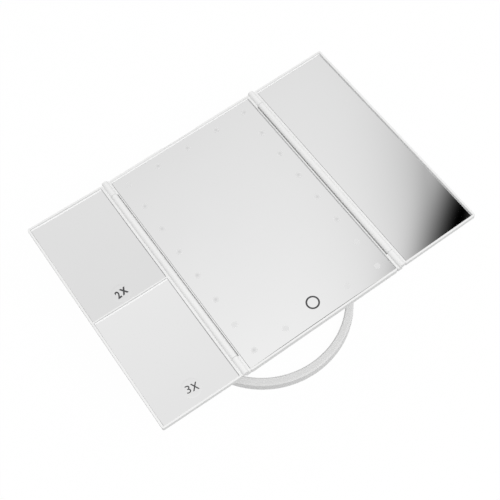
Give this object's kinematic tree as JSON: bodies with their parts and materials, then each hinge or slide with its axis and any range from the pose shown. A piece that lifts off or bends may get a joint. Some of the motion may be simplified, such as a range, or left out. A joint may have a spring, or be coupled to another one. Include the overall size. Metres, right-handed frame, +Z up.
{
  "type": "vanity_mirror",
  "caption": "Tabletop vanity mirror with a lit centre panel, folding plain and magnifying side wings, and a tilting arm on a ring base.",
  "frame": {"origin": "on the surface that the feet rest on, below the middle of the centre mirror", "axes": "+Z up; the user sits on the -Y side and +X is to the user's right; at rest the mirror is tipped back so that its glass faces +Z and its top edge points to +Y"},
  "size_m": [0.3679, 0.2564, 0.1946],
  "materials": {
    "white_shell": "smooth semi-gloss white moulding",
    "white_wing": "smooth semi-gloss white moulding",
    "plane_mirror": "clear silvered glass",
    "curved_mirror": "clear silvered glass, gently dished",
    "light_board": "white circuit board",
    "light_chip": "warm white light-emitting chips",
    "key_foam": "conductive foam",
    "steel": "plain steel",
    "cell_wrap": "bare metal-coloured sleeve",
    "contact_metal": "nickel plated spring strip",
    "circuit_board": "green circuit board",
    "bracket_plastic": "white moulding, fine grain",
    "washer_plastic": "black friction washers",
    "adhesive": "foam adhesive tape",
    "weight_iron": "bent steel bar, oiled",
    "sole_rubber": "grey rubber",
    "foot_rubber": "black rubber"
  },
  "bodies": {
    "stand": {"ring_base": "white_shell", "ring_weight": "weight_iron", "ring_sole": "sole_rubber", "feet": "foot_rubber", "arm": "white_shell", "arm_screws": "steel", "friction_washers": "washer_plastic"},
    "mirror": {"centre_frame": "white_shell", "centre_glass": "plane_mirror", "left_light_board": "light_board", "right_light_board": "light_board", "top_light_board": "light_board", "bottom_light_board": "light_board", "light_chips": "light_chip", "touch_sensor": "key_foam", "rear_cover": "white_shell", "cells": "cell_wrap", "left_contacts": "contact_metal", "right_contacts": "contact_metal", "control_board": "circuit_board", "usb_socket": "steel", "tilt_bracket": "bracket_plastic", "bracket_screws": "steel", "tilt_axle": "steel", "axle_nut": "steel", "hinge_pins": "steel"},
    "left_wing": {"left_wing_frame": "white_wing", "lens_2x": "curved_mirror", "lens_2x_pad": "adhesive", "lens_3x": "curved_mirror", "lens_3x_pad": "adhesive"},
    "right_wing": {"right_wing_frame": "white_wing", "right_mirror": "plane_mirror", "right_tape": "adhesive"},
    "battery_door": {"battery_door": "white_shell"}
  },
  "joints": [
    {"name": "mirror_tilt", "type": "hinge", "parent": "stand", "child": "mirror", "pos_m": [0, 0, 0.159], "axis": [1, 0, 0], "range_deg": [0, 105]},
    {"name": "left_wing_fold", "type": "hinge", "parent": "mirror", "child": "left_wing", "pos_m": [-0.092, 0, 0.191], "axis": [0, 1, 0], "range_deg": [-2.5, 177.5]},
    {"name": "right_wing_fold", "type": "hinge", "parent": "mirror", "child": "right_wing", "pos_m": [0.092, 0, 0.191], "axis": [0, -1, 0], "range_deg": [-0.6, 179.4]},
    {"name": "battery_door_lift", "type": "slide", "parent": "mirror", "child": "battery_door", "axis": [0, 0, -1], "range_m": [0, 0.02]}
  ]
}
